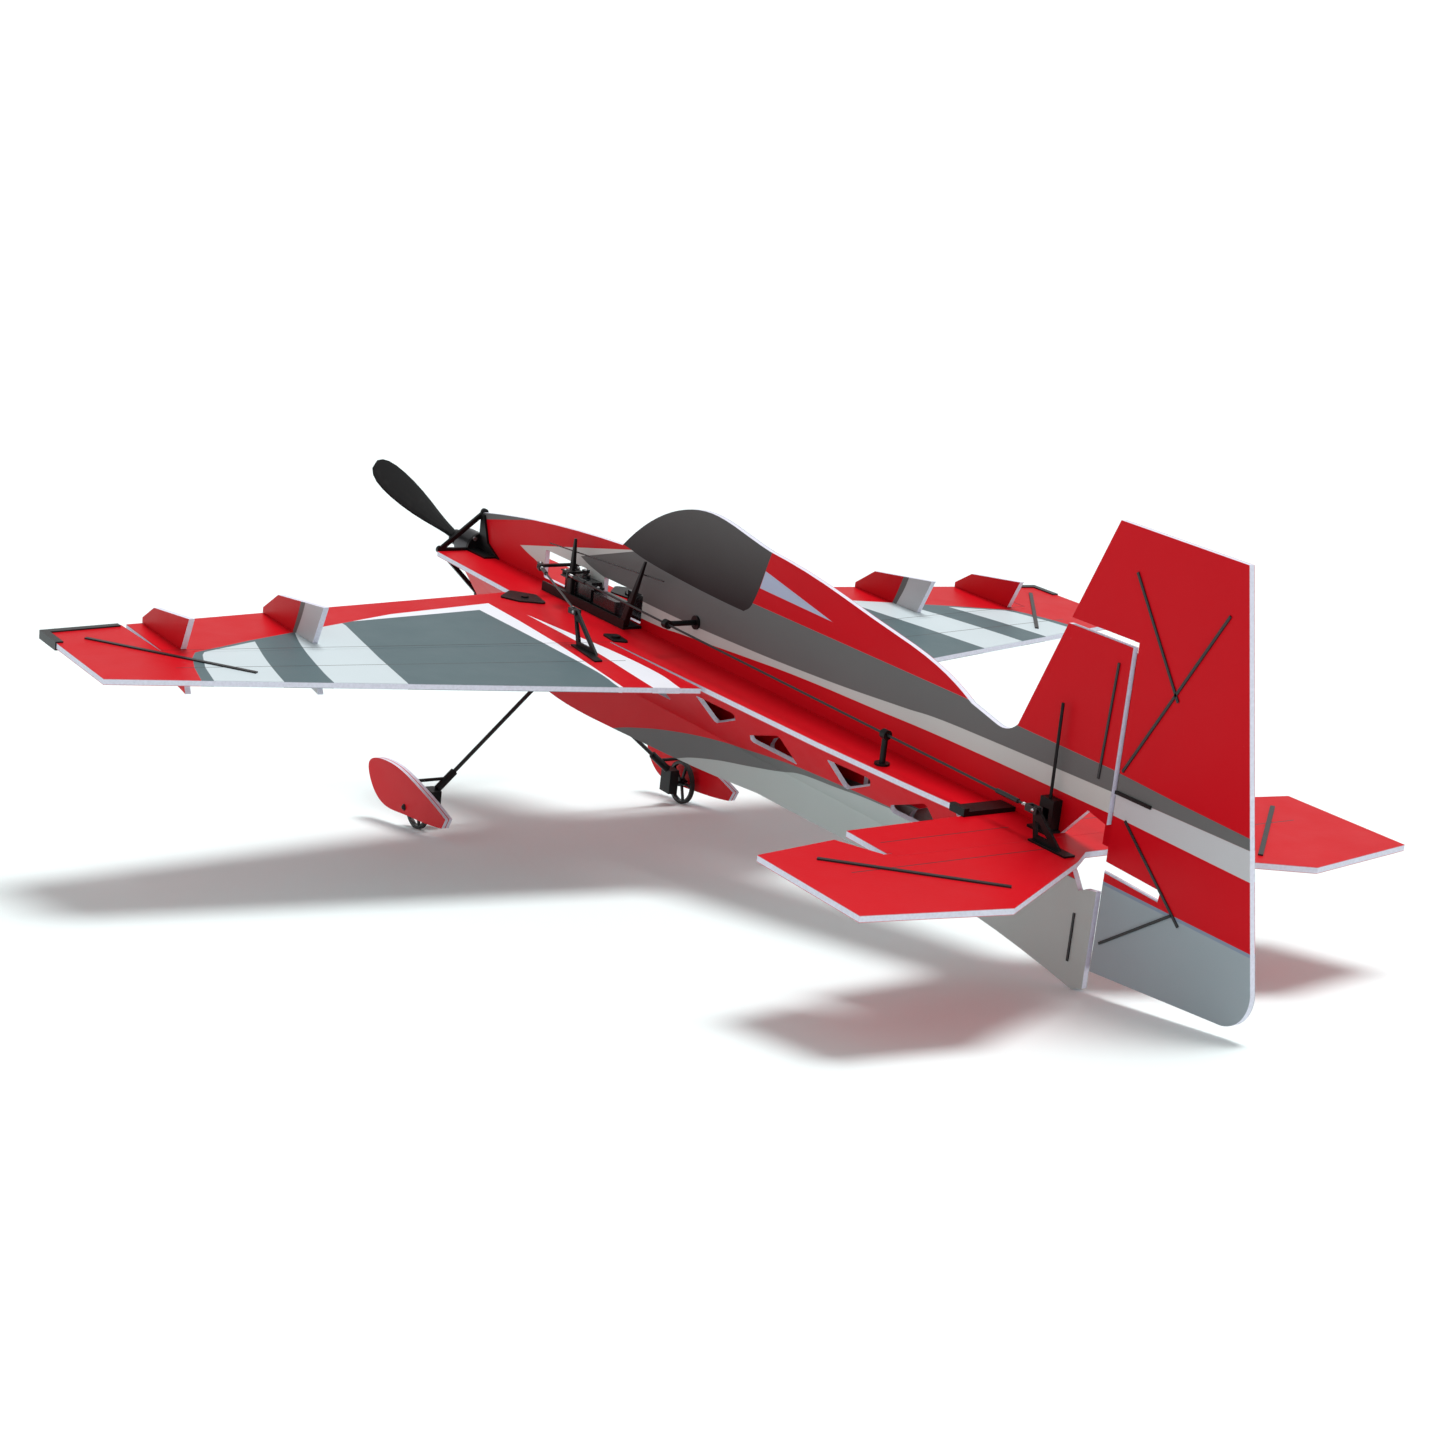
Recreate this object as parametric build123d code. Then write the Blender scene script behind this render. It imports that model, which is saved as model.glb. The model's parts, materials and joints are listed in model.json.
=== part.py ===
from build123d import *
import os
from math import atan, cos, degrees, pi, radians, sin

# Small electric aerobatic aeroplane cut from flat foam sheet, parked on its wheels and tail.
# Modelled level first: X to the left wing, Y towards the tail, Z up, the horizontal fuselage
# sheet's top face at Z = 0. The finished pieces are then tipped to the parked attitude.

# ---- driving dimensions, millimetres -------------------------------------------------------
FOAM = 4.0                 # foam sheet thickness
HALF = FOAM / 2
GAP = 0.4                  # running gap beside a moving surface
HALF_SPAN = 430.0

NOSE_Y = -66.5             # front end of the foam fuselage
SHEET_END_Y = 612.0
# half width of the fuselage sheet along its length
SHEET_EDGE = [(NOSE_Y, 40.8), (62, 45), (225, 45), (330, 43), (466, 40), (549, 35.5), (SHEET_END_Y, 31)]
KEEL_CORNER_Z = -49.5      # where the sloping side panels meet the keel
PANEL_WALL = 4.2           # side panel thickness measured level

ROOT_X = 45.0
ROOT_LE_Y, ROOT_TE_Y = 66.7, 338.0
TIP_LE_Y, TIP_TE_Y = 119.0, 236.0
HINGE_ROOT_Y, HINGE_OUT_Y = 215.8, 178.3
HINGE_OUT_X = 370.0
AILERON_ROOT_X = 47.0
SLIT = 4.0                 # width of the tip slit at the leading edge

INNER_PLATE_X, OUTER_PLATE_X = 260.0, 354.0

STAB_LE_Y, STAB_HALF = 617.0, 129.0
TAIL_HINGE_Y = 662.4
RUDDER_HINGE_Y = 699.0
FIN_TOP_Z = 123.4

PROP_Y, PROP_RADIUS, PROP_TURN = -110.0, 101.6, 38.0
MOTOR_RADIUS = 12.0
SHAFT_RADIUS, SHAFT_FIT, SHAFT_END_Y = 1.5, 0.05, -124.5
SHAFT_TIP_RADIUS, NUT_FRONT_Y = 1.25, -119.5
PROP_SECTION_SIDES = 14
MOTOR_BOLT_X, MOTOR_BOLT_Z = 8.0, 9.5      # half spacing of the motor screws

WHEEL_X, WHEEL_Y, WHEEL_Z, WHEEL_RADIUS = 119.0, 80.0, -161.5, 17.5
AXLE_RADIUS, AXLE_FIT = 0.9, 0.05
PANT_X, PANT_WALL = 124.3, 6.0

AILERON_ARM, AILERON_HORN = 31.0, 24.0     # lever lengths
AILERON_SERVO = (0.0, 81.0, 22.0)
AILERON_HORN_X, AILERON_HORN_Y = 78.0, 217.0
ELEVATOR_ROD_X = 27.0
RUDDER_ROD_X = -26.0
TAIL_HORN = 18.0

FLOOR_TAIL = (690.0, -87.4)                # corner of the keel that touches the floor


# ---- helpers --------------------------------------------------------------------------------
def face_xy(points):
    return make_face(Polyline(*points, close=True))


def plate_xy(points, z0=-FOAM, z1=0.0):
    return extrude(Plane.XY.offset(z0) * face_xy(points), z1 - z0)


def upright(face, x0=-HALF, x1=HALF):
    """A face drawn in (y, z) made into a vertical plate between two x values."""
    return extrude(Plane.YZ.offset(x0) * face, x1 - x0)


def block(x0, x1, y0, y1, z0, z1):
    return Pos((x0 + x1) / 2, (y0 + y1) / 2, (z0 + z1) / 2) * Box(x1 - x0, y1 - y0, z1 - z0)


def rod(start, end, radius):
    a, b = Vector(*start), Vector(*end)
    return extrude(Plane(a, z_dir=(b - a)) * Circle(radius), (b - a).length)


def bar(start, end, wide, thick, up=(0, 0, 1)):
    """A flat strip from start to end whose broad face looks along up."""
    a, b = Vector(*start), Vector(*end)
    section = Plane(a, x_dir=(b - a).cross(Vector(*up)), z_dir=(b - a))
    return extrude(section * Rectangle(wide, thick), (b - a).length)


def along(table, value):
    """Straight-line interpolation in a table of (place, value)."""
    for (y0, v0), (y1, v1) in zip(table, table[1:]):
        if value <= y1:
            return v0 + (v1 - v0) * (value - y0) / (y1 - y0)
    return table[-1][1]


def flip(piece):
    return mirror(piece, Plane.YZ)


def leading_edge(x):
    return ROOT_LE_Y + (TIP_LE_Y - ROOT_LE_Y) * (x - ROOT_X) / (HALF_SPAN - ROOT_X)


def trailing_edge(x):
    return ROOT_TE_Y + (TIP_TE_Y - ROOT_TE_Y) * (x - ROOT_X) / (HALF_SPAN - ROOT_X)


def hinge_line(x):
    return HINGE_ROOT_Y + (HINGE_OUT_Y - HINGE_ROOT_Y) * (x - ROOT_X) / (HINGE_OUT_X - ROOT_X)


def bevel(start, end, side):
    """Wedge that takes the lower front corner off a surface hinged along its top edge."""
    a, b = Vector(*start), Vector(*end)
    run = (b - a).normalized()
    aft = Vector(-run.Y, run.X, 0) * side
    section = Plane(a - run * 5, x_dir=aft, z_dir=run)
    wedge = make_face(Polyline((-2, 0.6), (0, 0), (FOAM + 1, -FOAM - 1), (-2, -FOAM - 1), close=True))
    if section.y_dir.Z < 0:
        wedge = mirror(wedge, Plane.XZ)
    return extrude(section * wedge, (b - a).length + 10)


# ---- fuselage foam ----------------------------------------------------------------------------
def fuselage_sheet():
    left = [(w, y) for y, w in SHEET_EDGE]
    right = [(-w, y) for y, w in reversed(SHEET_EDGE)]
    return plate_xy(left + right)


def upper_profile():
    line = [
        Polyline((590, 0), (NOSE_Y, 0), (NOSE_Y, 31)),
        Spline((NOSE_Y, 31), (18, 43.5), (102, 51.5), (149, 54.5)),
        Spline((149, 54.5), (185.5, 81), (229, 99), (262, 103.5), (297, 100), (337, 93.7)),
        Spline((337, 93.7), (406, 86.6), (466, 77), (529, 66), (566, 52.5)),
        Line((566, 52.5), (592, 46.8)),
        ThreePointArc((592, 46.8), (604, 47.6), (611.4, 52.5)),
        Polyline((611.4, 52.5), (643, FIN_TOP_Z), (RUDDER_HINGE_Y, FIN_TOP_Z), (RUDDER_HINGE_Y, 17.5)),
        Polyline((RUDDER_HINGE_Y, 17.5), (682, 21), (TAIL_HINGE_Y - 1, 0), (590, 0)),
    ]
    plate = upright(make_face(line))
    for y0, y1 in ((38, 106), (128, 184)):
        hole = Pos((y0 + y1) / 2, 14) * RectangleRounded(y1 - y0, 22, 2)
        plate -= upright(hole, -HALF - 1, HALF + 1)
    return plate


def truss_holes(grow=0.0):
    """Triangular lightening holes of the lower fuselage as (y, z) faces."""
    top, low = -8.0 + grow, -41.0 - grow
    faces = []
    for post, point in ((258, 214), (316, 364), (416, 360), (470, 516), (570, 518)):
        opens_up = post in (316, 470)
        first, second = (top, low) if opens_up else (low, top)
        toe = point - (6 if point > post else -6)
        corners = [(post, first), (point, first), (toe, first + (second - first) * 0.3), (post, second)]
        faces.append(make_face(FilletPolyline(*corners, radius=2.5, close=True)))
    return faces


def keel():
    line = [
        Polyline((600, -FOAM), (NOSE_Y, -FOAM), (NOSE_Y, -38)),
        Spline((NOSE_Y, -38), (-15, -63), (40, -80), (108, -85.4), (161, -84), (250, -80.5), (354, -73.5)),
        Spline((354, -73.5), (442, -72.5), (597, -75.2), (656, -82), FLOOR_TAIL),
        Polyline(FLOOR_TAIL, (RUDDER_HINGE_Y, -84), (RUDDER_HINGE_Y, -23.5), (690, -25), (684, -28)),
        Polyline((684, -28), (677.5, -19), (TAIL_HINGE_Y - 1, -FOAM), (600, -FOAM)),
    ]
    plate = upright(make_face(line))
    for hole in truss_holes(-2.5):
        plate -= upright(hole, -HALF - 1, HALF + 1)
    return plate


def side_panel():
    """Sloping left panel between the sheet's edge and the keel."""
    sections = []
    for y in (-45.0, 62.0, 225.0, 330.0, 466.0, 549.0, 600.0):
        wide = along(SHEET_EDGE, y)
        rise = PANEL_WALL * (-FOAM - KEEL_CORNER_Z) / (wide - HALF)
        outer = [(HALF, KEEL_CORNER_Z), (wide, -FOAM)]
        inner = [(wide - PANEL_WALL, -FOAM), (HALF, KEEL_CORNER_Z + rise)]
        corners = [Vector(x, y, z) for x, z in outer + inner]
        sections.append(make_face(Polyline(*corners, close=True)))
    panel = loft(sections, ruled=True)
    panel -= upright(face_xy([(-60, 0), (-12, 0), (-46, -48), (-60, -60)]), -1, 60)
    for hole in truss_holes():
        low = Plane.YZ.offset(-20) * Pos(0, 30) * hole
        panel -= extrude(low, 80, dir=(1, 0, -0.6))
    return panel


# ---- wings ------------------------------------------------------------------------------------
def plate_slot(x):
    """Part of the wing that a side-force plate passes through."""
    front = leading_edge(x) + 12
    return block(x - HALF, x + HALF, front, front + 50, -FOAM - 1, 1)


def wing():
    corner = HINGE_OUT_X - SLIT / 2
    outline = [
        (ROOT_X, leading_edge(ROOT_X)),
        (corner, leading_edge(corner)),
        (HINGE_OUT_X - GAP, hinge_line(HINGE_OUT_X) - GAP),
        (ROOT_X, hinge_line(ROOT_X) - GAP),
    ]
    panel = plate_xy(outline)
    for x in (INNER_PLATE_X, OUTER_PLATE_X):
        panel -= plate_slot(x)
    return panel


def aileron_outline():
    corner = HINGE_OUT_X + SLIT / 2
    return [
        (corner, leading_edge(corner)),
        (HALF_SPAN, leading_edge(HALF_SPAN)),
        (HALF_SPAN, TIP_TE_Y),
        (AILERON_ROOT_X, trailing_edge(AILERON_ROOT_X)),
        (AILERON_ROOT_X, hinge_line(AILERON_ROOT_X) + GAP),
        (HINGE_OUT_X + GAP, hinge_line(HINGE_OUT_X) + GAP),
    ]


STIFFENER_IN, STIFFENER_OUT = (62.0, 263.0), (376.0, 220.5)


def stiffener(start, end, deep=2.5, wide=0.8):
    middle = -deep / 2
    return bar((*start, middle), (*end, middle), wide, deep)


def aileron():
    flap = plate_xy(aileron_outline())
    inner = (AILERON_ROOT_X, hinge_line(AILERON_ROOT_X) + GAP, 0)
    outer = (HINGE_OUT_X - 5, hinge_line(HINGE_OUT_X - 5) + GAP, 0)
    flap -= bevel(inner, outer, 1)
    return flap - stiffener(STIFFENER_IN, STIFFENER_OUT)


def aileron_strips():
    strip = bar((407.6, 141.3, 0.5), (329.7, 242.8, 0.5), 3.0, 1.0)
    return [stiffener(STIFFENER_IN, STIFFENER_OUT), strip]


def tip_guard():
    """Plastic channel around the counterbalance's front edge and tip corner."""
    wall, cover = 1.0, 4.5
    inner = HINGE_OUT_X + SLIT / 2 + 2
    outline = [
        (inner, leading_edge(inner) - wall), (HALF_SPAN + wall, leading_edge(HALF_SPAN) - wall),
        (HALF_SPAN + wall, 149), (HALF_SPAN - cover, 149),
        (HALF_SPAN - cover, leading_edge(HALF_SPAN) + cover), (inner, leading_edge(inner) + cover),
    ]
    return plate_xy(outline, -FOAM - wall, wall) - plate_xy(aileron_outline())


def side_force_plate(x, size):
    """Plate that stands above and below the wing, in one piece through its slot."""
    front = leading_edge(x)
    slot = front + 12
    top = [(0, 0.2), (0, 4), (24 * size, 19 * size), (98 * size, 28.5 * size), (84 * size, 0.2)]
    above = upright(face_xy([(front + y, z) for y, z in top]), x - HALF, x + HALF)
    below = upright(face_xy([(front + y, -FOAM - z) for y, z in reversed(top)]), x - HALF, x + HALF)
    return above + below + block(x - HALF, x + HALF, slot, slot + 50, -FOAM - 1, 1)


def wing_root_plates():
    """Black clips that tie the wing's front edge and hinge line to the sheet."""
    front = make_face(FilletPolyline((33, 82), (47, 66), (64, 82), (56, 98), (38, 108), radius=3, close=True))
    rear = make_face(FilletPolyline((31, 200), (42, 196), (44, 216), (34, 222), radius=2.5, close=True))
    plates = [extrude(face, 1.2) for face in (front, rear)]
    posts = [Pos(46, 88, 1.2) * Cylinder(3, 1, align=(Align.CENTER, Align.CENTER, Align.MIN)),
             Pos(38, 209, 1.2) * Cylinder(3.5, 1.6, align=(Align.CENTER, Align.CENTER, Align.MIN))]
    clips = [plate + post for plate, post in zip(plates, posts)]
    return clips + [flip(clip) for clip in clips]


# ---- tail -------------------------------------------------------------------------------------
def stabiliser():
    hinge = TAIL_HINGE_Y - GAP
    centre = [(0, STAB_LE_Y - 4), (20, STAB_LE_Y - 4)]
    left = centre + [(24, STAB_LE_Y), (STAB_HALF, 621.5), (STAB_HALF + 1, hinge)]
    right = [(-x, y) for x, y in reversed(left)][:-1]
    sheet = plate_xy(left + right)
    return sheet - stiffener((26, 643), (122, 645)) - stiffener((-26, 643), (-122, 645))


def elevator():
    hinge = TAIL_HINGE_Y + GAP
    left = [
        (0, hinge), (132.5, hinge), (146, 633), (205.5, 643), (206.5, 741), (115, 757),
        (26.4, 706), (9, 693), (0, 693),
    ]
    right = [(-x, y) for x, y in reversed(left)][1:-1]
    flap = plate_xy(left + right)
    flap -= bevel((-128, hinge, 0), (128, hinge, 0), 1)
    for side in (1, -1):
        flap -= stiffener((side * 30, 682), (side * 170, 683))
    return flap


def elevator_strips():
    strips = []
    for side in (1, -1):
        strips.append(bar((side * 176, 658.5, 0.5), (side * 95, 730, 0.5), 3.0, 1.0))
        strips.append(stiffener((side * 30, 682), (side * 170, 683)))
    return strips


def rudder():
    hinge = RUDDER_HINGE_Y + GAP
    line = [
        Line((hinge, -71.5), (808, -62)),
        ThreePointArc((808, -62), (824, -54.5), (829, -38)),
        Polyline((829, -38), (777, 190), (674, 191.5), (645, FIN_TOP_Z + 4)),
        Polyline((645, FIN_TOP_Z + 4), (hinge, FIN_TOP_Z + 4), (hinge, -71.5)),
    ]
    blade = upright(make_face(line))
    slot = face_xy([(hinge - 2, -3), (750, -5), (749, -12), (hinge - 2, -10)])
    blade -= upright(slot, -HALF - 1, HALF + 1)
    open_side = [(HALF + 1, hinge - 3), (HALF + 1, hinge + FOAM + 1)]
    wedge = face_xy(open_side + [(-HALF, hinge), (-HALF - 1, hinge - 3)])
    return blade - extrude(Plane.XY.offset(-90) * wedge, 90 + FIN_TOP_Z + 3.9)


def rudder_braces():
    """Carbon strips on the rudder's two sides."""
    runs = (
        ((694, 166), (741, 103)),
        ((770, 160), (706, 52)),
        ((714, 25), (768, -20)),
        ((708, -52), (762, -15)),
    )
    strips = []
    for side in (1, -1):
        x = side * (HALF + 0.4)
        for (y0, z0), (y1, z1) in runs[:3] if side < 0 else runs:
            strips.append(bar((x, y0, z0), (x, y1, z1), 1.7, 0.8, up=(1, 0, 0)))
    return strips


def fixed_strips():
    """Carbon strips under the wings, on the fin and lower fin, and inside the stabiliser."""
    middle, deep = 150.0, 0.8
    wing_strip = block(ROOT_X + 1, INNER_PLATE_X - HALF - 1, middle - 3, middle + 3, -FOAM - deep, -FOAM)
    strips = [wing_strip, flip(wing_strip)]
    for side in (1, -1):
        x = side * (HALF + 0.4)
        strips.append(bar((x, 690, 112), (x, 687, 42), 1.6, 0.8, up=(1, 0, 0)))
        strips.append(bar((x, 684, -42), (x, 684, -72), 1.6, 0.8, up=(1, 0, 0)))
        strips.append(stiffener((side * 26, 643), (side * 122, 645)))
    return strips


def tail_fittings():
    """Bar over the sheet's end, and the clamp with its rod that braces the fin."""
    bracket = block(-HALF - 40, -HALF, 606, 620, 0, 3) + block(-HALF - 40, -HALF - 36, 606, 620, 3, 5)
    left = flip(bracket)
    clamp = block(HALF, HALF + 7, 648, 660, 0, 20) + block(HALF, HALF + 12, 645, 661.5, 0, 1.6)
    clamp -= block(HALF + 2, HALF + 8, 651, 657, 6, 14)
    post = rod((HALF + 4.5, 654, 20), (HALF + 4.5, 653, 78), 1.0)
    return [bracket, left, clamp, post]


# ---- power ------------------------------------------------------------------------------------
def motor_mount():
    """Diamond frame across the nose, with a centre boss, cross arms and a gusset foot."""
    front, back = NOSE_Y - 3.0, NOSE_Y
    tips = [(0, 31), (38, 1), (0, -37), (-38, 1)]
    middle = (front + back) / 2
    frame = Pos(0, back, 0) * Rot(90, 0, 0) * extrude(Circle(14), 3.0)
    for (x0, z0), (x1, z1) in zip(tips, tips[1:] + tips[:1]):
        frame += bar((x0, middle, z0), (x1, middle, z1), 3.4, 3.0, (0, 1, 0))
        frame += bar((0, middle, 0), (x0, middle, z0), 3.4, 3.0, (0, 1, 0))
        frame += Pos(x0, back, z0) * Rot(90, 0, 0) * extrude(Circle(3.0), 3.0)
    outline = [(back, 0), (back + 34, 0), (back + 14, 9), (back + 5, 30), (back, 30)]
    gusset = upright(face_xy(outline), HALF, HALF + 2)
    foot = block(HALF, HALF + 12, back, back + 30, 0, 1.5)
    frame += gusset + foot
    for x in (-MOTOR_BOLT_X, MOTOR_BOLT_X):
        for z in (-MOTOR_BOLT_Z, MOTOR_BOLT_Z):
            frame -= Pos(x, back + 1, z) * Rot(90, 0, 0) * extrude(Circle(1.05), 5)
    return frame


MOTOR_BACK = NOSE_Y - 3.0


def along_y(shape, y, length):
    """A face drawn in (x, z) made into a solid that runs forward from y."""
    return Pos(0, y, 0) * Rot(90, 0, 0) * extrude(shape, length)


def motor_stator():
    """Base, bearing tube and twelve wound teeth, with the copper on the teeth."""
    base = along_y(Circle(12.5), MOTOR_BACK, 2.5)
    for x in (-MOTOR_BOLT_X, MOTOR_BOLT_X):
        for z in (-MOTOR_BOLT_Z, MOTOR_BOLT_Z):
            base -= Pos(x, MOTOR_BACK + 1, z) * Rot(90, 0, 0) * extrude(Circle(0.8), 5)
    bore = along_y(Circle(SHAFT_RADIUS + SHAFT_FIT), MOTOR_BACK + 1, 30)
    tube = along_y(Circle(3.2), MOTOR_BACK, 21)
    teeth = []
    for index in range(12):
        tooth = Pos(6.2, 0, 0) * Box(7.5, 1.6, 10)
        teeth.append(Rot(0, 0, 30 * index) * tooth)
    core = teeth[0]
    for tooth in teeth[1:]:
        core += tooth
    core = Pos(0, MOTOR_BACK - 11, 0) * Rot(90, 0, 0) * core
    return (base + tube + core) - bore


def motor_bell():
    """Turning can with its spoked front face and the shaft."""
    can = along_y(Circle(MOTOR_RADIUS) - Circle(MOTOR_RADIUS - 1.3), MOTOR_BACK - 3.5, 18)
    front = along_y(Circle(MOTOR_RADIUS), MOTOR_BACK - 21.5, 2.5)
    for index in range(6):
        window = Pos(7 * cos(pi * index / 3), 7 * sin(pi * index / 3)) * Circle(2.2)
        front -= along_y(window, MOTOR_BACK - 21, 4)
    shaft = along_y(Circle(SHAFT_RADIUS), MOTOR_BACK - 1, MOTOR_BACK - 1 - NUT_FRONT_Y)
    tip = along_y(Circle(SHAFT_TIP_RADIUS), NUT_FRONT_Y, NUT_FRONT_Y - SHAFT_END_Y)
    return can + front + shaft + tip


def propeller():
    """Two-bladed slow-flying propeller: twisted blades lofted from the hub to blunt tips."""
    stations = (
        (5.5, 9, 34, 4.4),
        (15, 11.5, 32, 3.4),
        (26, 15.5, 30, 2.8),
        (38, 19.5, 25, 2.4),
        (50, 22.5, 21, 2.1),
        (62, 24.2, 17.5, 1.8),
        (74, 24.6, 15, 1.6),
        (84, 23.4, 13, 1.4),
        (92, 20.5, 12, 1.2),
        (98, 15.5, 11.4, 1.0),
        (PROP_RADIUS, 8, 11, 0.8),
    )
    blade = loft([blade_section(*station) for station in stations], ruled=True)
    screw = Cylinder(6.5, 7) + blade + Rot(0, 0, 180) * blade
    screw -= Cylinder(SHAFT_RADIUS + SHAFT_FIT, 20)
    return Pos(0, PROP_Y, 0) * Rot(0, -PROP_TURN, 0) * Rot(90, 0, 0) * screw


def blade_section(radius, chord, pitch, thick):
    """Oval section of a blade with PROP_SECTION_SIDES sides, turned to its pitch."""
    lean = radians(pitch)
    corners = []
    for index in range(PROP_SECTION_SIDES):
        angle = 2 * pi * index / PROP_SECTION_SIDES
        along, up = chord / 2 * cos(angle), thick / 2 * sin(angle)
        y, z = along * cos(lean) - up * sin(lean), along * sin(lean) + up * cos(lean)
        corners.append((radius, y, z))
    return make_face(Polyline(*corners, close=True))


def prop_nut():
    nut = along_y(RegularPolygon(3.6, 6), PROP_Y - 3.5, 3)
    tip = Cone(3.2, 1.9, 3, align=(Align.CENTER, Align.CENTER, Align.MIN))
    cone = Pos(0, PROP_Y - 6.5, 0) * Rot(90, 0, 0) * tip
    return (nut + cone) - along_y(Circle(SHAFT_RADIUS + SHAFT_FIT), PROP_Y - 3, 12)


def mount_screws():
    screws = []
    for x in (-MOTOR_BOLT_X, MOTOR_BOLT_X):
        for z in (-MOTOR_BOLT_Z, MOTOR_BOLT_Z):
            shank = Pos(x, NOSE_Y, z) * Rot(90, 0, 0) * extrude(Circle(0.8), 4.5)
            screws.append(shank + Pos(x, NOSE_Y + 1.2, z) * Rot(90, 0, 0) * extrude(Circle(1.7), 1.2))
    return screws


# ---- radio gear -------------------------------------------------------------------------------
SERVO_LONG, SERVO_WIDE = 23.0, 9.0
TRAY_X1 = 18.0


def servo(center, bottom):
    """Micro servo standing on bottom: case, ears and output boss under the given output place."""
    x, y, z = center
    case = block(x - SERVO_WIDE / 2, x + SERVO_WIDE / 2, y - 5.5, y + SERVO_LONG - 5.5, bottom, z - 3)
    ears = block(x - SERVO_WIDE / 2, x + SERVO_WIDE / 2, y - 9.5, y + SERVO_LONG - 1.5, z - 8, z - 6.2)
    boss = Pos(x, y, z - 3) * Cylinder(4, 2, align=(Align.CENTER, Align.CENTER, Align.MIN))
    gear = Pos(x, y, z - 1) * Cylinder(1.8, 1, align=(Align.CENTER, Align.CENTER, Align.MIN))
    return case + ears + boss + gear


ELEVATOR_SERVO = (9.0, 112.0, 24.0)
RUDDER_SERVO = (-9.0, 158.0, 24.0)


def servo_tray():
    """Plastic tray beside the profile with two pointed antenna masts."""
    plate = block(HALF, TRAY_X1, 64, 186, 0, 2)
    rail = block(TRAY_X1 - 1.5, TRAY_X1, 64, 186, 2, 7)
    tray = plate + rail
    for base_y, lean, tall in ((102, 1, 49), (181, 22, 55)):
        low = Plane((TRAY_X1 - 3, base_y, 2)) * RectangleRounded(5, 8, 1.2)
        high = Plane((TRAY_X1 - 3, base_y + lean, tall)) * RectangleRounded(1.8, 2.2, 0.5)
        tray += loft([low, high])
    return tray


def receiver():
    """Receiver box on the tray with its taut aerial between the masts."""
    case = block(3.0, 15.5, 136, 168, 2.0, 16.0)
    case = fillet(case.edges().filter_by(Axis.Z), 1.5)
    aerial = rod((TRAY_X1 - 5.2, 62, 36), (TRAY_X1 - 5.2, 226, 46), 0.5)
    return [case, aerial]


def speed_controller():
    case = block(-11, -HALF - 0.3, 28, 62, -26, -10)
    return fillet(case.edges().filter_by(Axis.Z), 1.2)


def battery():
    case = block(HALF + 0.3, 14.5, 12, 66, -30, -6)
    return fillet(case.edges().filter_by(Axis.Y), 2.0)


def battery_strap():
    outer = block(HALF, 15.1, 32, 46, -30.6, -5.4)
    return outer - block(HALF - 1, 14.6, 31, 47, -30.1, -5.9)


def double_arm():
    """Long aileron servo arm, both ends drilled for the rods' pins."""
    x, y, z = AILERON_SERVO
    arm = block(x - AILERON_ARM, x + AILERON_ARM, y - 1.6, y + 1.6, z + 0.3, z + 2.3)
    arm += Pos(x, y, z + 0.3) * Cylinder(3.4, 2.6, align=(Align.CENTER, Align.CENTER, Align.MIN))
    for side in (1, -1):
        tip = Pos(x + side * AILERON_ARM, y, z + 0.3)
        arm += tip * Cylinder(2.4, 2, align=(Align.CENTER, Align.CENTER, Align.MIN))
    return arm


def single_arm(center, reach):
    """Servo arm across the airframe, from the output to the rod."""
    x, y, z = center
    first, last = sorted((x, x + reach))
    arm = block(first, last, y - 1.5, y + 1.5, z + 0.3, z + 2.0)
    arm += Pos(x, y, z + 0.3) * Cylinder(3.0, 2.4, align=(Align.CENTER, Align.CENTER, Align.MIN))
    return arm + Pos(x + reach, y, z + 0.3) * Cylinder(2.2, 1.7, align=(Align.CENTER, Align.CENTER, Align.MIN))


def fork(place, axis, level=True, tine=9.0, wide=4.0, thick=1.0, slot=3.0):
    """Clevis whose slot holds a lever's tip with air on both sides, opening against axis."""
    a = Vector(*place)
    run = Vector(*axis).normalized()
    normal = Vector(0, 0, 1) if level else Vector(1, 0, 0)
    frame = Plane(a, x_dir=run, z_dir=normal)
    whole = Pos(tine / 2 - 2.5, 0, 0) * Box(tine + 1, wide, slot + 2 * thick)
    gap = Pos(tine / 2 - 4.5, 0, 0) * Box(tine + 1, wide + 2, slot)
    return frame * (whole - gap)


AILERON_ROD_Z = AILERON_SERVO[2] + 1.3


def aileron_pushrod():
    """Left rod with a clevis at each end."""
    start = Vector(AILERON_ARM, AILERON_SERVO[1], AILERON_ROD_Z)
    end = Vector(AILERON_HORN_X, AILERON_HORN_Y, AILERON_HORN)
    run = (end - start).normalized()
    front = fork(start, run)
    rear = fork(end, run * -1, level=False, slot=3.0)
    wire = rod(start + run * 6.0, end - run * 6.0, 0.8)
    sleeve = rod(start + run * 12.0, start + run * 26.0, 1.5)
    return front + rear + wire + sleeve


def aileron_horn():
    """Triangular horn on the aileron: base plate, two legs and an eye at the top."""
    x, y = AILERON_HORN_X, AILERON_HORN_Y
    base = plate_xy([(x - 5, y + 4), (x + 3, y + 2), (x + 9, y + 46), (x + 3, y + 46)], 0, 1.2)
    blade = face_xy([(y - 2, AILERON_HORN + 2), (y + 2, AILERON_HORN + 2), (y + 34, 1), (y + 6, 1)])
    window = face_xy([(y + 3, AILERON_HORN - 6), (y + 7, AILERON_HORN - 6), (y + 25, 4), (y + 9, 4)])
    return base + upright(blade - window, x - 1, x + 1)


def tail_lever(x, y, z):
    return upright(face_xy([(y - 2, z + 2), (y + 2, z + 2), (y + 26, 1), (y + 2, 1)]), x - 1, x + 1)


ELEVATOR_HORN_Y = TAIL_HINGE_Y + 3.0


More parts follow.
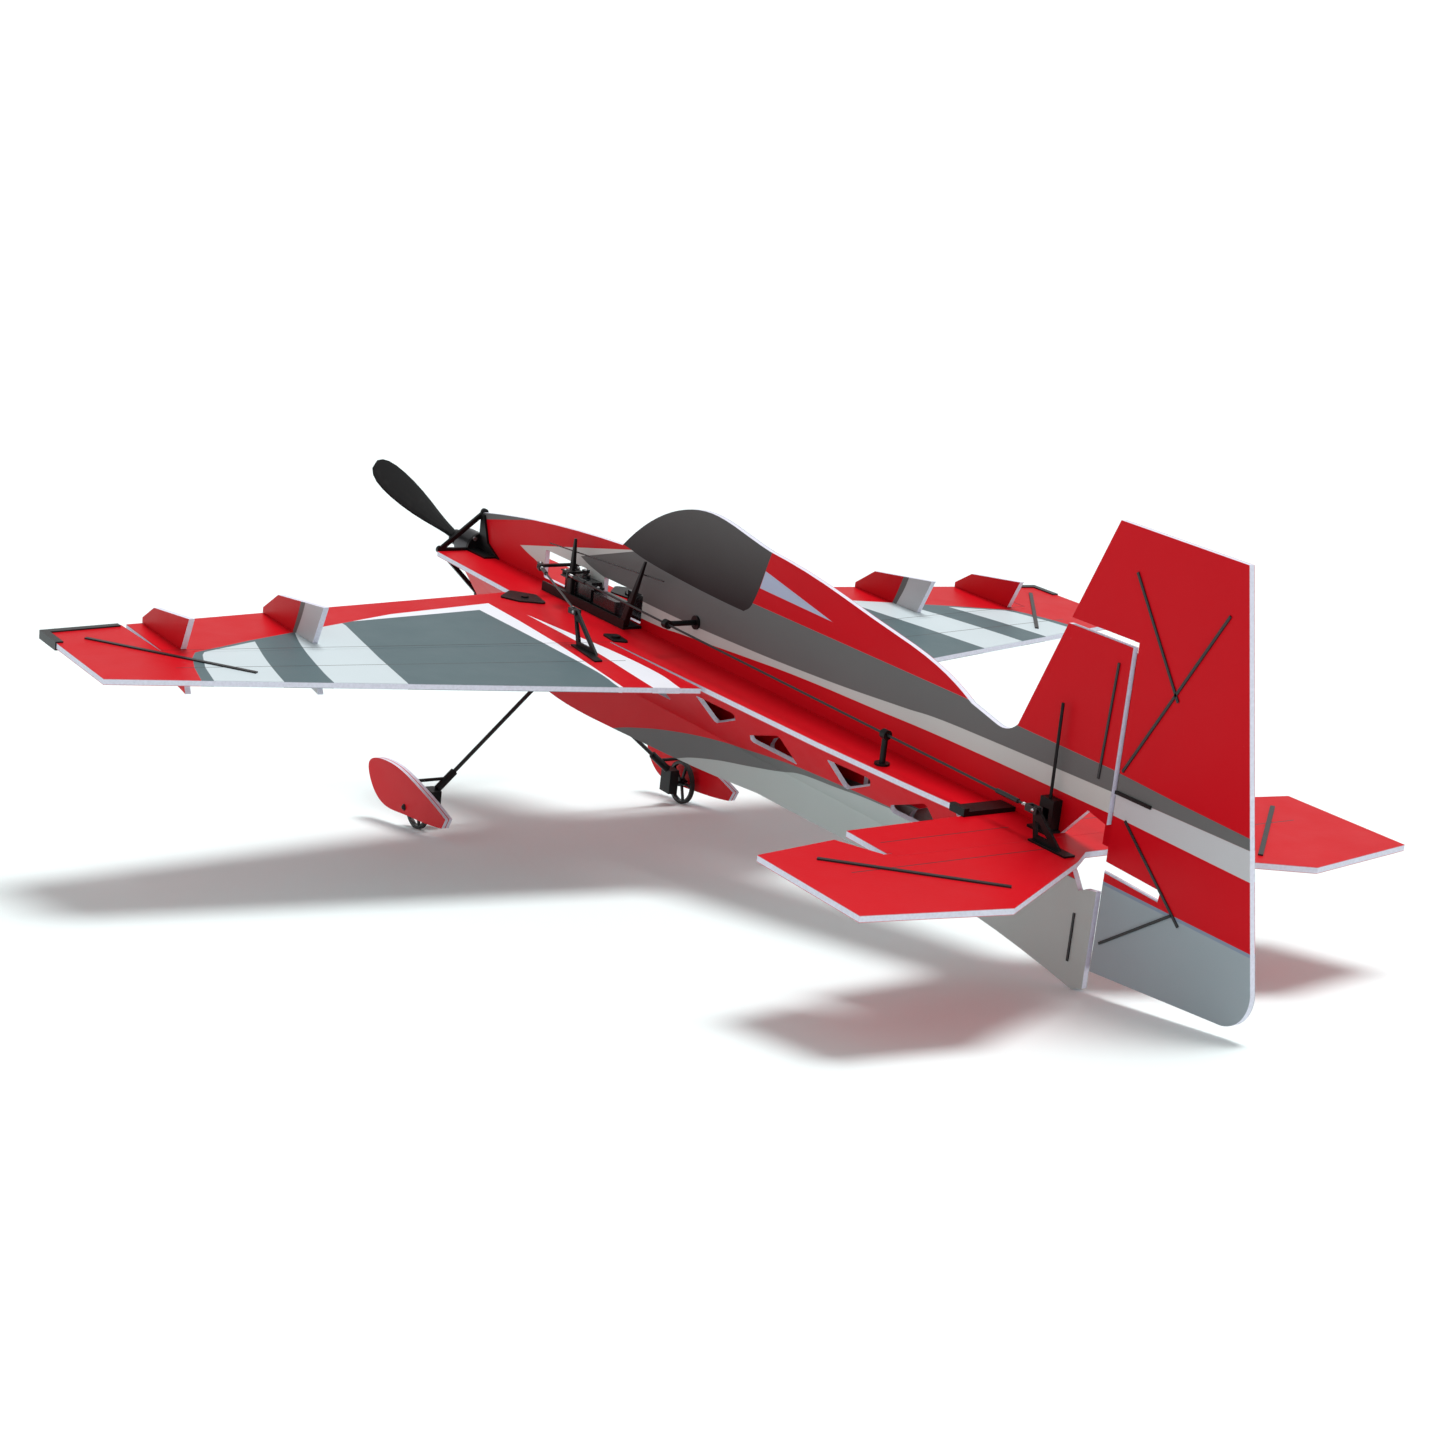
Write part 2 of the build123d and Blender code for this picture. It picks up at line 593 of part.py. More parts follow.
def elevator_horn():
    base = block(ELEVATOR_ROD_X - 4, ELEVATOR_ROD_X + 4, ELEVATOR_HORN_Y + 1, ELEVATOR_HORN_Y + 34, 0, 1.2)
    blade = tail_lever(ELEVATOR_ROD_X, ELEVATOR_HORN_Y, TAIL_HORN)
    opening = [(y + ELEVATOR_HORN_Y, z) for y, z in ((2, 12), (5, 12), (15, 4), (4, 4))]
    return base + (blade - upright(face_xy(opening), ELEVATOR_ROD_X - 2, ELEVATOR_ROD_X + 2))


ELEVATOR_ROD_FRONT = (ELEVATOR_ROD_X, ELEVATOR_SERVO[1], ELEVATOR_SERVO[2] + 1.15)
ELEVATOR_ROD_REAR = (ELEVATOR_ROD_X, ELEVATOR_HORN_Y, TAIL_HORN)
RUDDER_ROD_FRONT = (RUDDER_ROD_X, RUDDER_SERVO[1], RUDDER_SERVO[2] + 1.15)
RUDDER_ROD_REAR = (RUDDER_ROD_X, RUDDER_HINGE_Y, 36.0)


def tail_pushrod(front, rear, level_rear):
    a, b = Vector(*front), Vector(*rear)
    run = (b - a).normalized()
    piece = fork(a, run) + fork(b, run * -1, level=level_rear, slot=3.2)
    piece += rod(a + run * 6.0, b - run * 6.0, 0.8)
    for start, length in ((14, 16), ((b - a).length - 36, 20)):
        piece += rod(a + run * start, a + run * (start + length), 1.5)
    return piece


def rudder_horn():
    """Bar through the rudder with an eye on the right for the rod."""
    y, z = RUDDER_HINGE_Y, RUDDER_ROD_REAR[2]
    left_pad = block(HALF, HALF + 1.2, y + 4, y + 34, z + 2, z + 4)
    right_pad = block(-HALF - 1.2, -HALF, y + 6, y + 26, z - 6, z + 6)
    root, tip = -HALF - 1, RUDDER_ROD_X - 2
    lever = plate_xy([(root, y + 8), (root, y + 22), (tip, y + 2), (tip, y - 2)], z - 1, z + 1)
    return [left_pad, right_pad + lever]


def guide_height(front, rear, y):
    return front[2] + (rear[2] - front[2]) * (y - front[1]) / (rear[1] - front[1])


def ring_along_y(x, y, z, outer, bore, length):
    ring = Pos(x, y, z) * Rot(90, 0, 0) * Cylinder(outer, length)
    return ring - Pos(x, y, z) * Rot(90, 0, 0) * Cylinder(bore, length + 2)


def pushrod_guides():
    """Side post on the profile and upright post on the sheet, for each long rod."""
    guides = []
    rods = ((1, ELEVATOR_ROD_FRONT, ELEVATOR_ROD_REAR), (-1, RUDDER_ROD_FRONT, RUDDER_ROD_REAR))
    for side, front, rear in rods:
        x = front[0]
        for y, upright_post in ((257, False), (518, True)):
            z = guide_height(front, rear, y)
            eye = ring_along_y(x, y, z, 3.2, 1.6, 5)
            if upright_post:
                post = rod((x, y, 1.5), (x, y, z - 2.2), 2.0)
                base = rod((x, y, 0), (x, y, 1.5), 5.0)
            else:
                post = rod((side * (HALF + 1.5), y, z), (x - side * 2.2, y, z), 2.0)
                base = rod((side * HALF, y, z), (side * (HALF + 1.5), y, z), 5.0)
            guides.append(eye + post + base)
    return guides


# ---- landing gear -----------------------------------------------------------------------------
STRUT_TOP = (5.0, 68.4, -63.5)
STRUT_LOW = (96.0, 79.5, -142.5)


def gear_socket():
    """Plastic saddle on the keel with a tube for each strut."""
    saddle = block(HALF, 6, 58, 79, -72, -55)
    a, b = Vector(*STRUT_TOP), Vector(*STRUT_LOW)
    run = (b - a).normalized()
    tube = rod(a, a + run * 14, 3.2)
    left = (saddle + tube) - rod(a, a + run * 30, 1.6) - block(-20, HALF, 40, 100, -90, -40)
    return [left, flip(left)]


def gear_strut():
    a, b = Vector(*STRUT_TOP), Vector(*STRUT_LOW)
    return rod(a, b, 1.6)


def gear_link():
    """Elbow at the strut's foot, the stay that holds the wheel pant, and the axle block."""
    a, b = Vector(*STRUT_TOP), Vector(*STRUT_LOW)
    run = (b - a).normalized()
    elbow = rod(b - run * 9, b + run * 10, 3.0) - rod(b - run * 30, b, 1.6)
    stay = rod((97, WHEEL_Y - 0.5, -141.5), (PANT_X, WHEEL_Y - 0.5, -141.5), 1.3)
    carrier = block(103, 111, WHEEL_Y - 7, WHEEL_Y + 7, WHEEL_Z - 7, -149)
    collar = rod((111, WHEEL_Y, WHEEL_Z), (WHEEL_X - 4.0, WHEEL_Y, WHEEL_Z), 2.2)
    axle = rod((111, WHEEL_Y, WHEEL_Z), (PANT_X, WHEEL_Y, WHEEL_Z), AXLE_RADIUS)
    return elbow + stay + carrier + collar + axle


def wheel():
    """Thin-spoked wheel with a hub that runs on the axle."""
    rim = Circle(WHEEL_RADIUS) - Circle(WHEEL_RADIUS - 2.6)
    hub = Circle(3.4)
    disc = extrude(Plane.YZ.offset(-1.6) * rim, 3.2)
    disc += extrude(Plane.YZ.offset(-2.6) * hub, 5.2)
    for index in range(5):
        spoke = Rot(72 * index, 0, 0) * Pos(0, (WHEEL_RADIUS + 1) / 2, 0) * Box(1.8, WHEEL_RADIUS - 3.4, 1.9)
        disc += spoke
    disc -= extrude(Plane.YZ.offset(-5) * Circle(AXLE_RADIUS + AXLE_FIT), 10)
    return Pos(WHEEL_X, WHEEL_Y, WHEEL_Z) * disc


def wheel_pant():
    """Teardrop fairing of laminated foam outboard of the wheel."""
    line = [
        Spline((146, -150), (92, -138), (42, -135.5), (16, -147), (27, -163), (74, -168), (141, -158.5),
               tangents=((-1, 0.28), (1, 0.2))),
        Line((141, -158.5), (146, -150)),
    ]
    return upright(make_face(line), PANT_X, PANT_X + PANT_WALL)


# ---- assembly ---------------------------------------------------------------------------------
def level_pieces():
    """Every node in the level attitude, as name: list of solids."""
    pieces = {
        "fuselage_sheet": fuselage_sheet(), "upper_profile": upper_profile(), "stabiliser": stabiliser(),
        "elevator": elevator(), "rudder": rudder(), "elevator_strips": elevator_strips(),
        "rudder_braces": rudder_braces(), "fixed_strips": fixed_strips(), "tail_fittings": tail_fittings(),
        "wing_root_plates": wing_root_plates(), "motor_mount": motor_mount(),
        "motor_stator": motor_stator(), "motor_bell": motor_bell(), "propeller": propeller(),
        "prop_nut": prop_nut(), "mount_screws": mount_screws(), "servo_tray": servo_tray(),
        "receiver": receiver(), "speed_controller": speed_controller(), "battery": battery(),
        "battery_strap": battery_strap(), "aileron_servo": servo(AILERON_SERVO, 3.0),
        "elevator_servo": servo(ELEVATOR_SERVO, 2.0), "rudder_servo": servo(RUDDER_SERVO, 0.0),
        "aileron_servo_arm": double_arm(),
        "elevator_servo_arm": single_arm(ELEVATOR_SERVO, ELEVATOR_ROD_X - ELEVATOR_SERVO[0]),
        "rudder_servo_arm": single_arm(RUDDER_SERVO, RUDDER_ROD_X - RUDDER_SERVO[0]),
        "elevator_pushrod": tail_pushrod(ELEVATOR_ROD_FRONT, ELEVATOR_ROD_REAR, False),
        "rudder_pushrod": tail_pushrod(RUDDER_ROD_FRONT, RUDDER_ROD_REAR, True),
        "elevator_horn": elevator_horn(), "rudder_horn": rudder_horn(), "pushrod_guides": pushrod_guides(),
        "gear_socket": gear_socket(), "keel": keel(),
    }
    paired = {
        "side_panel": side_panel(), "wing": wing(), "aileron": aileron(), "aileron_strips": aileron_strips(),
        "tip_guard": tip_guard(), "side_plate_inner": side_force_plate(INNER_PLATE_X, 1.0),
        "side_plate_outer": side_force_plate(OUTER_PLATE_X, 0.83), "aileron_pushrod": aileron_pushrod(),
        "aileron_horn": aileron_horn(), "gear_strut": gear_strut(), "gear_link": gear_link(),
        "wheel": wheel(), "wheel_pant": wheel_pant(),
    }
    for name, shape in paired.items():
        solids = shape if isinstance(shape, list) else [shape]
        pieces[name + "_left"] = solids
        pieces[name + "_right"] = [flip(solid) for solid in solids]
    return {name: shape if isinstance(shape, list) else [shape] for name, shape in pieces.items()}


def stance_angle():
    """Nose-up angle at which the wheels and the keel's rear corner touch one floor."""
    run = FLOOR_TAIL[0] - WHEEL_Y
    rise = FLOOR_TAIL[1] - (WHEEL_Z - WHEEL_RADIUS)
    angle = atan(rise / run)
    for _ in range(20):
        lowest = WHEEL_Z * cos(angle) - WHEEL_Y * sin(angle) - WHEEL_RADIUS
        tail = FLOOR_TAIL[1] * cos(angle) - FLOOR_TAIL[0] * sin(angle)
        angle += (tail - lowest) / run
    return degrees(angle)


def parked():
    """The same nodes tipped onto the floor, with the origin under the middle of the box."""
    level = level_pieces()
    tip = Rot(-stance_angle(), 0, 0)
    turned = {name: Compound(children=[tip * solid for solid in solids]) for name, solids in level.items()}
    boxes = [shape.bounding_box() for shape in turned.values()]
    low_y, high_y = min(b.min.Y for b in boxes), max(b.max.Y for b in boxes)
    floor = min(b.min.Z for b in boxes)
    shift = Pos(0, -(low_y + high_y) / 2, -floor)
    return {name: shift * shape for name, shape in turned.items()}, shift * tip


def main():
    os.makedirs("parts", exist_ok=True)
    nodes, _ = parked()
    for name, shape in nodes.items():
        export_step(shape, f"parts/{name}.step")


if __name__ == "__main__":
    main()
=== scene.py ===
import json
import math

import bmesh
import bpy
from mathutils import Matrix, Vector


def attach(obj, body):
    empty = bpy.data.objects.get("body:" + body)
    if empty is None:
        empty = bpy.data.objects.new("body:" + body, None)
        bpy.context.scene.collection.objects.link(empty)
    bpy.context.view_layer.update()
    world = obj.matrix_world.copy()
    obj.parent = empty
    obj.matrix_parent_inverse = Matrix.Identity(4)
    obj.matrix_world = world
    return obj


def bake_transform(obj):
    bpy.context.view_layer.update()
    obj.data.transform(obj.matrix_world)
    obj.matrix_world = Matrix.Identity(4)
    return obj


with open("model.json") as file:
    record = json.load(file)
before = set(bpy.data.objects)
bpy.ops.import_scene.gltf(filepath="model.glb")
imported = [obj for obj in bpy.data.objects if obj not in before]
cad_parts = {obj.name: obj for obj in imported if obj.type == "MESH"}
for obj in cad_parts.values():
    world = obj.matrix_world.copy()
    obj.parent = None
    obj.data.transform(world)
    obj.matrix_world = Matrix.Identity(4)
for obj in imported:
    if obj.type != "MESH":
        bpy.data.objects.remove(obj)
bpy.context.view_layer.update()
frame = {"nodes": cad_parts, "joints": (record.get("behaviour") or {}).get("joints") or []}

# Places are given in millimetres in the aeroplane's level attitude: X to the left wing, Y to the
# tail, Z up from the top of the horizontal sheet, as if it flew straight and level.
MM = 0.001
JOINTS = {joint["name"]: joint for joint in frame["joints"]}
PROP_CENTRE = Vector((0, -110, 0))
UP = Vector(JOINTS["rudder_hinge"]["axis"])
TILT = math.atan2(UP.y, UP.z)
PROP_PLACE = Vector(JOINTS["propeller_spin"]["pos_m"])
TO_FRAME = (
    Matrix.Translation(PROP_PLACE)
    @ Matrix.Rotation(-TILT, 4, "X")
    @ Matrix.Scale(MM, 4)
    @ Matrix.Translation(-PROP_CENTRE)
)

# studio: strengths of the walls and the ceiling, and the lamp's power and where it shines from
WALL, CEILING, KEY_POWER, KEY_FROM = 1.05, 0.42, 2.45, (-0.22, 0.05, 1.0)

# places on the aeroplane
HALF_FOAM = 2.0
HINGE_IN, HINGE_OUT = Vector((47, 215.6, 0)), Vector((370, 178.3, 0))
TAIL_HINGE_Y, RUDDER_HINGE_Y = 662.4, 699.0
TAIL_HINGE_X, RUDDER_HINGE_LOW, RUDDER_HINGE_TOP = 127, 4, 120
WHEEL_Y, WHEEL_Z, TREAD_RADIUS, AXLE_END_X = 80, -161.5, 16.6, 130.3
AILERON_SERVO, ELEVATOR_SERVO, RUDDER_SERVO = (0, 81, 22), (9, 112, 24), (-9, 158, 24)
AILERON_ROD_Z, TAIL_ROD_Z = 23.3, 25.15
STATOR_Y, STATOR_TEETH = -80.5, 12
BATTERY_BAND = (48, 58)

# printed film and foam colours, linear; the belly band carries painted shade, the canopy's pale tone is a
# painted sheen, and the canopy's dark tone also serves as painted shade at the aileron hinge
RED = (0.57, 0.001, 0.008, 1)
WING_LIGHT = (0.58, 0.66, 0.69, 1)
SLATE = (0.10, 0.148, 0.162, 1)
WHITE = (0.80, 0.82, 0.88, 1)
BODY_GREY = (0.135, 0.138, 0.138, 1)
BODY_LIGHT = (0.55, 0.575, 0.56, 1)
# pale band of the keel and lower side panels: its own more neutral tone, painted darker than the profile's
# band as painted shade
BELLY_PALE_WITH_SHADE = (0.43, 0.47, 0.46, 1)
TAIL_LIGHT = (0.53, 0.54, 0.56, 1)
TAIL_GREY = (0.31, 0.36, 0.39, 1)
BLUE_LINE = (0.22, 0.27, 0.36, 1)
PALE_BLUE = (0.42, 0.47, 0.62, 1)
# dark canopy print, also used for the painted shade along the aileron hinge; the pale tone is a painted
# sheen for the canopy's top
CANOPY_DARK_AND_HINGE_SHADE, CANOPY_PAINTED_SHEEN = (0.022, 0.016, 0.017, 1), (0.088, 0.084, 0.084, 1)
FOAM = (0.70, 0.70, 0.80, 1)


def place(x, y, z):
    return TO_FRAME @ Vector((x, y, z))


# ---- material graphs --------------------------------------------------------------------------
class Graph:
    """Adds nodes to one material; sockets and plain numbers can be mixed freely."""

    def __init__(self, name):
        self.material = bpy.data.materials.new(name)
        self.material.use_nodes = True
        self.tree = self.material.node_tree
        self.tree.nodes.clear()
        self.coords = self.tree.nodes.new("ShaderNodeTexCoord")

    def link(self, value, socket):
        if isinstance(value, bpy.types.NodeSocket):
            self.tree.links.new(value, socket)
        elif value is not None:
            socket.default_value = value

    def node(self, kind, inputs=(), **settings):
        made = self.tree.nodes.new(kind)
        for key, value in settings.items():
            setattr(made, key, value)
        for index, value in enumerate(inputs):
            self.link(value, made.inputs[index])
        return made

    def math(self, operation, *values, clamp=False):
        return self.node("ShaderNodeMath", values, operation=operation, use_clamp=clamp).outputs[0]

    def level(self):
        """Millimetre coordinates in the level attitude, as three sockets."""
        turn = Matrix.Rotation(TILT, 4, "X")
        shift = PROP_CENTRE - turn @ (PROP_PLACE / MM)
        inputs = (self.coords.outputs["Object"], shift, (TILT, 0, 0), (1 / MM, 1 / MM, 1 / MM))
        self.place = self.node("ShaderNodeMapping", inputs).outputs[0]
        return self.node("ShaderNodeSeparateXYZ", (self.place,)).outputs

    def facing(self, direction):
        """How far the surface faces a level direction, from -1 to 1."""
        aim = Matrix.Rotation(-TILT, 3, "X") @ Vector(direction).normalized()
        inputs = (self.coords.outputs["Normal"], aim)
        return self.node("ShaderNodeVectorMath", inputs, operation="DOT_PRODUCT").outputs["Value"]

    def above(self, value, limit, soft=0.25):
        """1 where value is over limit, with a soft step this many millimetres wide."""
        gap = self.math("SUBTRACT", value, limit)
        return self.math("MULTIPLY_ADD", gap, 1 / soft, 0.5, clamp=True)

    def both(self, first, *others):
        for other in others:
            first = self.math("MINIMUM", first, other)
        return first

    def outside(self, mask):
        return self.math("SUBTRACT", 1.0, mask)

    def curve(self, value, points, smooth=True):
        """A printed boundary: height over place, through the given points."""
        places = [p for p, _ in points]
        heights = [h for _, h in points]
        low_p, span_p = min(places), max(places) - min(places)
        low_h, span_h = min(heights), max(max(heights) - min(heights), 1e-6)
        scaled = self.math("DIVIDE", self.math("SUBTRACT", value, low_p), span_p)
        chart = self.node("ShaderNodeFloatCurve", (1.0, scaled))
        line = chart.mapping.curves[0]
        while len(line.points) < len(points):
            line.points.new(0.5, 0.5)
        ordered = sorted(points)
        for knot, (p, h) in zip(line.points, ordered):
            knot.location = ((p - low_p) / span_p, (h - low_h) / span_h)
            knot.handle_type = "AUTO_CLAMPED" if smooth else "VECTOR"
        chart.mapping.extend = "HORIZONTAL"
        chart.mapping.update()
        return self.math("MULTIPLY_ADD", chart.outputs[0], span_h, low_h)

    def inside(self, u, v, corners):
        """Mask of a convex polygon, corners in order round it."""
        middle = Vector((sum(c[0] for c in corners), sum(c[1] for c in corners))) / len(corners)
        mask = None
        for start, end in zip(corners, corners[1:] + corners[:1]):
            normal = Vector((start[1] - end[1], end[0] - start[0])).normalized()
            if normal.dot(middle - Vector(start)) < 0:
                normal = -normal
            along = self.math("MULTIPLY_ADD", u, normal.x, -normal.dot(Vector(start)))
            distance = self.math("MULTIPLY_ADD", v, normal.y, along)
            side = self.above(distance, 0.0)
            mask = side if mask is None else self.both(mask, side)
        return mask

    def paint(self, under, colour, mask):
        made = self.node("ShaderNodeMix", data_type="RGBA")
        self.link(mask, made.inputs["Factor"])
        self.link(under, made.inputs[6])
        self.link(colour, made.inputs[7])
        return made.outputs[2]

    def noise(self, size_mm, detail=2.0, stretch=(1, 1, 1), roughness=0.5):
        """Noise whose blotches are about size_mm across."""
        scaled = self.node("ShaderNodeVectorMath", (self.place, stretch), operation="MULTIPLY").outputs[0]
        made = self.node("ShaderNodeTexNoise")
        self.link(scaled, made.inputs["Vector"])
        made.inputs["Scale"].default_value = 1 / size_mm
        made.inputs["Detail"].default_value = detail
        made.inputs["Roughness"].default_value = roughness
        return made.outputs["Fac"]

    def beads(self, size_mm):
        """Rounded cells of moulded foam, 0 at a cell's middle."""
        made = self.node("ShaderNodeTexVoronoi", feature="SMOOTH_F1")
        self.link(self.place, made.inputs["Vector"])
        made.inputs["Scale"].default_value = 1 / size_mm
        return made.outputs["Distance"]

    def vary(self, colour, amount, factor):
        """Colour made up to amount darker or lighter by a 0-to-1 factor."""
        gain = self.math("MULTIPLY_ADD", factor, 2 * amount, 1 - amount)
        made = self.node("ShaderNodeHueSaturation")
        self.link(gain, made.inputs["Value"])
        self.link(colour, made.inputs["Color"])
        return made.outputs[0]

    def bump(self, height, depth_mm, strength=1.0, normal=None):
        made = self.node("ShaderNodeBump")
        made.inputs["Strength"].default_value = strength
        made.inputs["Distance"].default_value = depth_mm * MM
        self.link(height, made.inputs["Height"])
        self.link(normal, made.inputs["Normal"])
        return made.outputs[0]

    def shade(self, colour, roughness, normal=None, **plain):
        shader = self.node("ShaderNodeBsdfPrincipled")
        self.link(colour, shader.inputs["Base Color"])
        self.link(roughness, shader.inputs["Roughness"])
        self.link(normal, shader.inputs["Normal"])
        for name, value in plain.items():
            shader.inputs[name.replace("_", " ")].default_value = value
        out = self.node("ShaderNodeOutputMaterial")
        self.tree.links.new(shader.outputs[0], out.inputs["Surface"])
        return self.material


# ---- printed artwork --------------------------------------------------------------------------
def wing_art(g, x, y, z):
    """Red wing with a slate panel, light and slate stripes towards the tip, a white flash, and a dark line
    of painted shade along the aileron hinge.
    """
    x = g.math("ABSOLUTE", x)
    panel = g.inside(x, y, [
        (82, 97), (198, 120.5), (260, 146), (301, 165), (340, 180), (349, 186.5), (356, 199),
        (364, 222), (375, 267), (386, 345), (103, 345), (94, 268), (88, 212), (84, 150),
    ])
    tip_edge = g.curve(y, [(160, 297), (221, 312), (281, 323), (345, 333)])
    stripe_edge = g.curve(y, [(140, 256), (151, 262), (246, 285), (287, 291), (345, 299)])
    main_edge = g.curve(y, [(139, 218), (222, 232.5), (296, 243.5), (345, 250)], smooth=False)
    root_edge = g.curve(y, [(110, 98.5), (200, 97.6), (258, 97.6), (322, 103)])
    front_edge = g.math("MULTIPLY_ADD", x, 0.138, 100.6)
    inner = g.inside(x, y, [
        (230, 138), (303, 170), (341.5, 185), (347, 194), (357, 223), (367, 270), (380, 345), (230, 345),
    ])
    over_stripe = g.above(x, stripe_edge)
    colour = g.paint(RED, WING_LIGHT, panel)
    stripe = g.both(over_stripe, g.above(tip_edge, x))
    rim = g.both(over_stripe, g.outside(inner))
    main = g.both(g.above(main_edge, x), g.above(x, root_edge), g.above(y, front_edge))
    slate = g.both(panel, g.math("MAXIMUM", stripe, g.math("MAXIMUM", rim, main)))
    border = g.both(panel, g.above(main_edge, x), g.outside(main))
    colour = g.paint(g.paint(colour, WHITE, border), SLATE, slate)
    flash_in = g.curve(y, [(128, 69.6), (196, 62.5), (241, 57.5), (282, 56), (335, 61.5)])
    flash_out = g.curve(y, [(128, 69), (207, 70.3), (240, 71.5), (285, 75.7), (335, 80.5)])
    flash = g.both(g.above(x, flash_in), g.above(flash_out, x), g.above(y, 129))
    colour = g.paint(colour, WHITE, flash)
    slope = (HINGE_OUT.y - HINGE_IN.y) / (HINGE_OUT.x - HINGE_IN.x)
    hinge = g.math("MULTIPLY_ADD", x, slope, HINGE_IN.y - slope * HINGE_IN.x)
    near_hinge = g.math("ABSOLUTE", g.math("SUBTRACT", y, hinge))
    # a dark line of painted shade along the aileron hinge, in the canopy's dark colour
    hinge_shade = g.both(g.above(0.5, near_hinge), g.above(HINGE_OUT.x, x))
    return g.paint(colour, CANOPY_DARK_AND_HINGE_SHADE, g.math("MULTIPLY", hinge_shade, 0.7))


def plain_red(g, x, y, z):
    return RED


def band_top(g, y):
    """Upper edge of the long grey band on the fuselage, fin and rudder."""
    knots = [(163, 54.2), (567, 54), (614, 51.4), (697, 50.6), (750, 48.2), (830, 45.8)]
    return g.curve(y, knots, smooth=False)


def profile_art(g, x, y, z):
    """Grey nose top, light and grey bands, dark canopy with a painted sheen lighter towards its top, and a
    pale triangle behind it.
    """
    nose = g.above(z, g.math("MULTIPLY_ADD", y, 0.217, 39.9))
    top = band_top(g, y)
    light_rise = g.math("MULTIPLY_ADD", y, 0.2115, 19.6)
    light_low = g.curve(y, [
        (-8, 20.5), (20, 14), (50, 9.9), (120, 7.8), (187, 7.6), (243, 10.2), (322, 15.4),
        (395, 19.4), (472, 21.6), (543, 23.7), (699, 25),
    ])
    grey_rise = g.math("MULTIPLY_ADD", y, 0.285, 6.3)
    grey_low = g.curve(y, [
        (86, 33.6), (114, 26.8), (150, 22.4), (184, 20.3), (229, 20.0), (306, 21.2), (395, 24.3),
        (502, 31), (543, 34.2), (595, 35.6), (699, 37.8),
    ])
    light = g.both(g.above(top, z), g.above(light_rise, z), g.above(z, light_low), g.above(y, -6))
    grey = g.both(g.above(top, z), g.above(grey_rise, z), g.above(z, grey_low), g.above(y, 88))
    colour = g.paint(RED, BODY_GREY, nose)
    colour = g.paint(colour, BODY_LIGHT, light)
    colour = g.paint(colour, BODY_GREY, grey)
    triangle = g.inside(y, z, [(334.5, 79.5), (330, 66.5), (416, 65)])
    colour = g.paint(colour, PALE_BLUE, triangle)
    sill = g.curve(y, [(145, 55.8), (163, 53.6), (183, 51), (224, 48.4), (286, 46.3), (330, 46.0)])
    back = g.curve(z, [(42, 308), (46.4, 314), (50, 320), (54.6, 323.6), (93.5, 339.7), (110, 346.5)])
    canopy = g.both(g.above(z, sill), g.above(back, y), g.above(y, 145))
    # the canopy is painted lighter towards its top: a painted sheen over its dark print
    canopy_sheen_rise = g.math("MULTIPLY_ADD", z, 1 / 52, -48 / 52, clamp=True)
    canopy_with_sheen = g.paint(CANOPY_DARK_AND_HINGE_SHADE, CANOPY_PAINTED_SHEEN, canopy_sheen_rise)
    return g.paint(colour, canopy_with_sheen, canopy)


def rudder_art(g, x, y, z):
    light_low = g.math("MULTIPLY_ADD", y, -0.017, 36.9)
    grey_low = g.math("MULTIPLY_ADD", y, 0.0102, 31.6)
    colour = g.paint(RED, TAIL_LIGHT, g.both(g.above(z, light_low), g.above(grey_low, z)))
    colour = g.paint(colour, BODY_GREY, g.both(g.above(z, grey_low), g.above(band_top(g, y), z)))
    colour = g.paint(colour, BLUE_LINE, g.above(-15.2, z))
    return g.paint(colour, TAIL_GREY, g.above(-17.2, z))


def belly_art(g, x, y, z):
    """Red lower fuselage whose grey and light bands sweep up from the keel towards the tail; the light band
    is painted darker here than on the profile, as painted shade.
    """
    grey_top = g.curve(y, [
        (150, -88), (164, -82.5), (200, -72), (236, -63.3), (286, -53.8), (330, -47.5), (370, -41),
        (413, -35), (459, -31.2), (489, -29.2), (532, -27.4), (640, -22),
    ])
    light_top = g.curve(y, [
        (236, -90), (251, -80), (296, -67), (343, -57.6), (377, -50.5), (413, -41), (459, -35.4),
        (489, -31.6), (516, -29.6), (532, -28), (640, -22.4),
    ])
    colour = g.paint(RED, BODY_GREY, g.above(grey_top, z))
    return g.paint(colour, BELLY_PALE_WITH_SHADE, g.above(light_top, z))


def inner_plate_art(g, x, y, z):
    """Side-force plate that is red in front and light behind a curved grey stripe."""
    height = g.math("ABSOLUTE", g.math("ADD", z, HALF_FOAM))
    front = g.curve(height, [(0, 146), (5, 149), (16, 154), (26, 158)])
    rear = g.curve(height, [(0, 151.5), (6, 155), (17, 161), (27, 165)])
    colour = g.paint(RED, BODY_GREY, g.above(y, front))
    return g.paint(colour, TAIL_LIGHT, g.above(y, rear))


